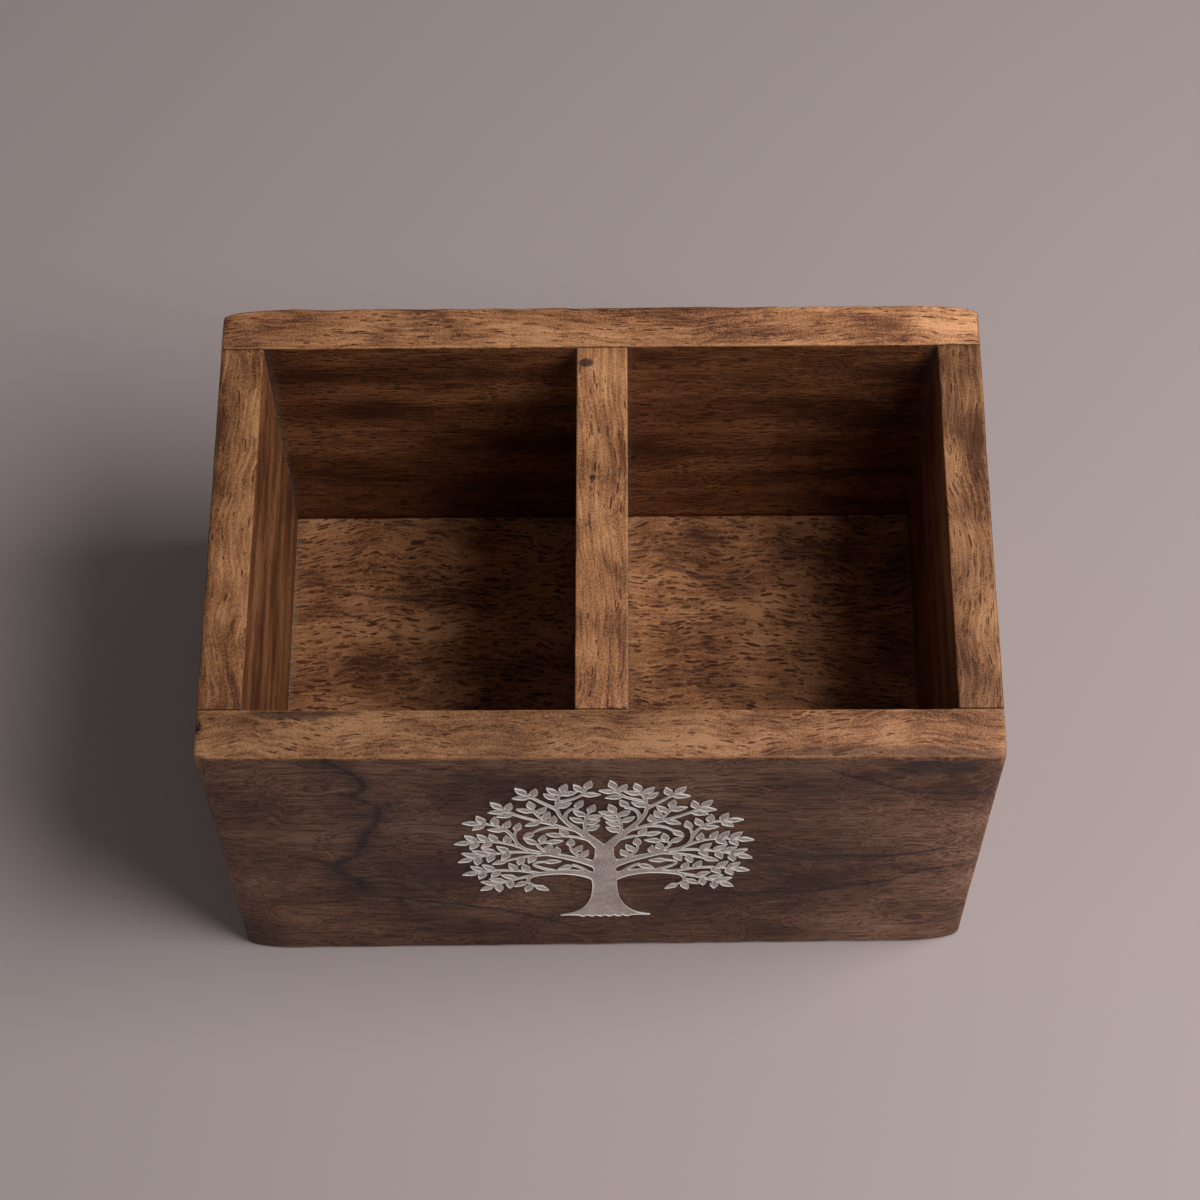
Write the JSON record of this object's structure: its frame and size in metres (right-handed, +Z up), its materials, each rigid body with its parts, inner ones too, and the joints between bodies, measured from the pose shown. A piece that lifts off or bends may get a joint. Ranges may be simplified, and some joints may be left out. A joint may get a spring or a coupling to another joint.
{
  "type": "remote control box",
  "caption": "Open-topped wooden table box for remote controls, its compartments split by an upright divider, with a raised metal tree on the front board.",
  "frame": {"origin": "middle of the box's footprint, on the table", "axes": "+X to the right seen from the front, +Y from the front to the back, +Z up; the tree is on the -Y face"},
  "size_m": [0.18, 0.1203, 0.1076],
  "materials": {
    "front_board": "hand-sanded brown hardwood, thin satin wax",
    "back_board": "hand-sanded brown hardwood, thin satin wax",
    "left_side_board": "hand-sanded brown hardwood, thin satin wax",
    "right_side_board": "hand-sanded brown hardwood, thin satin wax",
    "divider": "hand-sanded brown hardwood, thin satin wax",
    "floor_panel": "hand-sanded brown hardwood, thin satin wax",
    "dowel_wood": "bare pale hardwood",
    "white_metal": "satin cast white metal, softly rounded relief"
  },
  "bodies": {
    "root": {"front_board": "front_board", "back_board": "back_board", "left_side_board": "left_side_board", "right_side_board": "right_side_board", "divider": "divider", "floor_panel": "floor_panel", "front_left_dowel_1": "dowel_wood", "front_left_dowel_2": "dowel_wood", "front_left_dowel_3": "dowel_wood", "front_right_dowel_1": "dowel_wood", "front_right_dowel_2": "dowel_wood", "front_right_dowel_3": "dowel_wood", "back_left_dowel_1": "dowel_wood", "back_left_dowel_2": "dowel_wood", "back_left_dowel_3": "dowel_wood", "back_right_dowel_1": "dowel_wood", "back_right_dowel_2": "dowel_wood", "back_right_dowel_3": "dowel_wood", "front_divider_dowel_1": "dowel_wood", "front_divider_dowel_2": "dowel_wood", "back_divider_dowel_1": "dowel_wood", "back_divider_dowel_2": "dowel_wood", "metal_tree": "white_metal"}
  },
  "joints": []
}
